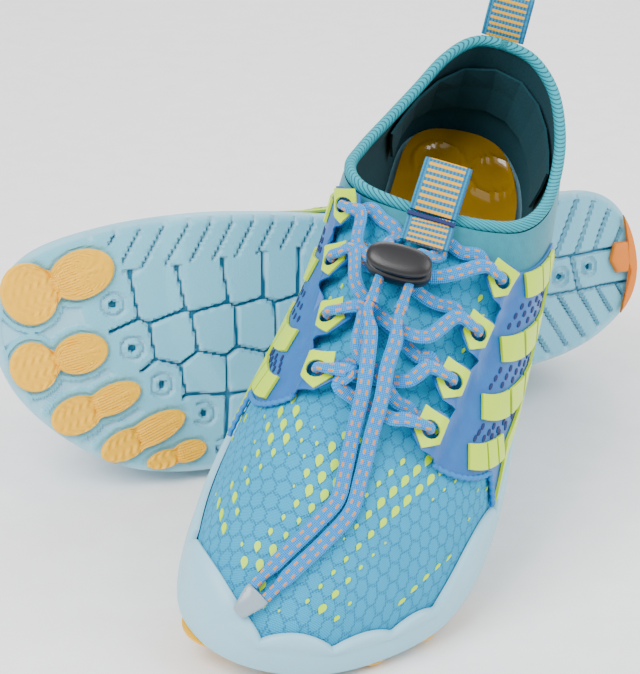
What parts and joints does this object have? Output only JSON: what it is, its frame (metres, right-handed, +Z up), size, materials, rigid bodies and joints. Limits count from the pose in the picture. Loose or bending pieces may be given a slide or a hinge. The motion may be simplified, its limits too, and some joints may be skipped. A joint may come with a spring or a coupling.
{
  "type": "barefoot water shoes",
  "caption": "Pair of low-cut lace-up barefoot water shoes with toe-shaped soles, perforated knit vamps, neoprene collars, bonded cages and cord-lock laces, one shoe leaning on the other.",
  "frame": {"origin": "bottom centre of the bounding box of the pair, on the floor it lies on", "axes": "+X towards the right as seen from the side that shows the leaning sole, +Y away from that viewer, +Z up"},
  "size_m": [0.2366, 0.2844, 0.1641],
  "materials": {
    "outsole": "translucent pale blue moulded rubber, satin",
    "toe_pads": "matte amber rubber",
    "heel_insert": "matte orange rubber",
    "board": "dark woven board",
    "insole": "glossy amber foam rubber",
    "vamp": "perforated stretch knit",
    "collar": "smooth neoprene",
    "binding": "overlocked edge tape",
    "cage": "smooth bonded film with embossed border",
    "trim": "bonded lime film",
    "webbing": "ribbed woven webbing",
    "lace": "flat braided elastic lace",
    "sleeve": "clear end sleeve",
    "lock": "moulded black plastic",
    "spring": "bright spring wire"
  },
  "bodies": {
    "right_shoe": {"right_outsole": "outsole", "right_toe_pad_1": "toe_pads", "right_toe_pad_2": "toe_pads", "right_toe_pad_3": "toe_pads", "right_toe_pad_4": "toe_pads", "right_toe_pad_5": "toe_pads", "right_heel_insert": "heel_insert", "right_lasting_board": "board", "right_insole": "insole", "right_heel_counter": "board", "right_vamp": "vamp", "right_collar": "collar", "right_collar_binding": "binding", "right_medial_cage": "cage", "right_medial_trim": "trim", "right_lateral_cage": "cage", "right_lateral_trim": "trim", "right_tongue_tab": "webbing", "right_heel_tab": "webbing", "right_lace": "lace", "right_lace_tail_a": "lace", "right_lace_tail_b": "lace", "right_lace_end": "sleeve"},
    "right_lock": {"right_lock_body": "lock", "right_lock_spring": "spring"},
    "right_button": {"right_lock_button": "lock"},
    "right_tongue_strap": {"right_tongue_loop": "webbing"},
    "right_heel_strap": {"right_heel_loop": "webbing"},
    "left_shoe": {"left_outsole": "outsole", "left_toe_pad_1": "toe_pads", "left_toe_pad_2": "toe_pads", "left_toe_pad_3": "toe_pads", "left_toe_pad_4": "toe_pads", "left_toe_pad_5": "toe_pads", "left_heel_insert": "heel_insert", "left_lasting_board": "board", "left_insole": "insole", "left_heel_counter": "board", "left_vamp": "vamp", "left_collar": "collar", "left_collar_binding": "binding", "left_medial_cage": "cage", "left_medial_trim": "trim", "left_lateral_cage": "cage", "left_lateral_trim": "trim", "left_tongue_tab": "webbing", "left_heel_tab": "webbing", "left_lace": "lace", "left_lace_tail_a": "lace", "left_lace_tail_b": "lace", "left_lace_end": "sleeve"},
    "left_lock": {"left_lock_body": "lock", "left_lock_spring": "spring"},
    "left_button": {"left_lock_button": "lock"},
    "left_tongue_strap": {"left_tongue_loop": "webbing"},
    "left_heel_strap": {"left_heel_loop": "webbing"}
  },
  "joints": [
    {"name": "left_shoe_lift", "type": "slide", "parent": "right_shoe", "child": "left_shoe", "axis": [0, 0, 1], "range_m": [0, 0.12]},
    {"name": "right_lock_slide", "type": "slide", "parent": "right_shoe", "child": "right_lock", "axis": [-0.7865, -0.6145, 0.0616], "range_m": [0, 0.006]},
    {"name": "right_button_press", "type": "slide", "parent": "right_lock", "child": "right_button", "axis": [0.6129, -0.7645, 0.1996], "range_m": [0, 0.0015], "stiffness_N_per_m": 600, "springref_m": -0.001},
    {"name": "right_tongue_loop_bend", "type": "hinge", "parent": "right_shoe", "child": "right_tongue_strap", "pos_m": [-0.0137, 0.09737, 0.0313], "axis": [-0.0971, 0.2216, 0.9703], "range_deg": [-25, 60]},
    {"name": "right_heel_loop_bend", "type": "hinge", "parent": "right_shoe", "child": "right_heel_strap", "pos_m": [0.09516, 0.12394, 0.03703], "axis": [-0.0971, 0.2216, 0.9703], "range_deg": [-40, 60]},
    {"name": "left_lock_slide", "type": "slide", "parent": "left_shoe", "child": "left_lock", "axis": [-0.3041, -0.7096, -0.6357], "range_m": [0, 0.006]},
    {"name": "left_button_press", "type": "slide", "parent": "left_lock", "child": "left_button", "axis": [0.021, 0.6621, -0.7491], "range_m": [0, 0.0015], "stiffness_N_per_m": 600, "springref_m": -0.001},
    {"name": "left_tongue_loop_bend", "type": "hinge", "parent": "left_shoe", "child": "left_tongue_strap", "pos_m": [0.03105, -0.05248, 0.11637], "axis": [0.9526, -0.2176, -0.2128], "range_deg": [-25, 60]},
    {"name": "left_heel_loop_bend", "type": "hinge", "parent": "left_shoe", "child": "left_heel_strap", "pos_m": [0.06051, 0.0517, 0.1458], "axis": [0.9526, -0.2176, -0.2128], "range_deg": [-40, 60]}
  ]
}
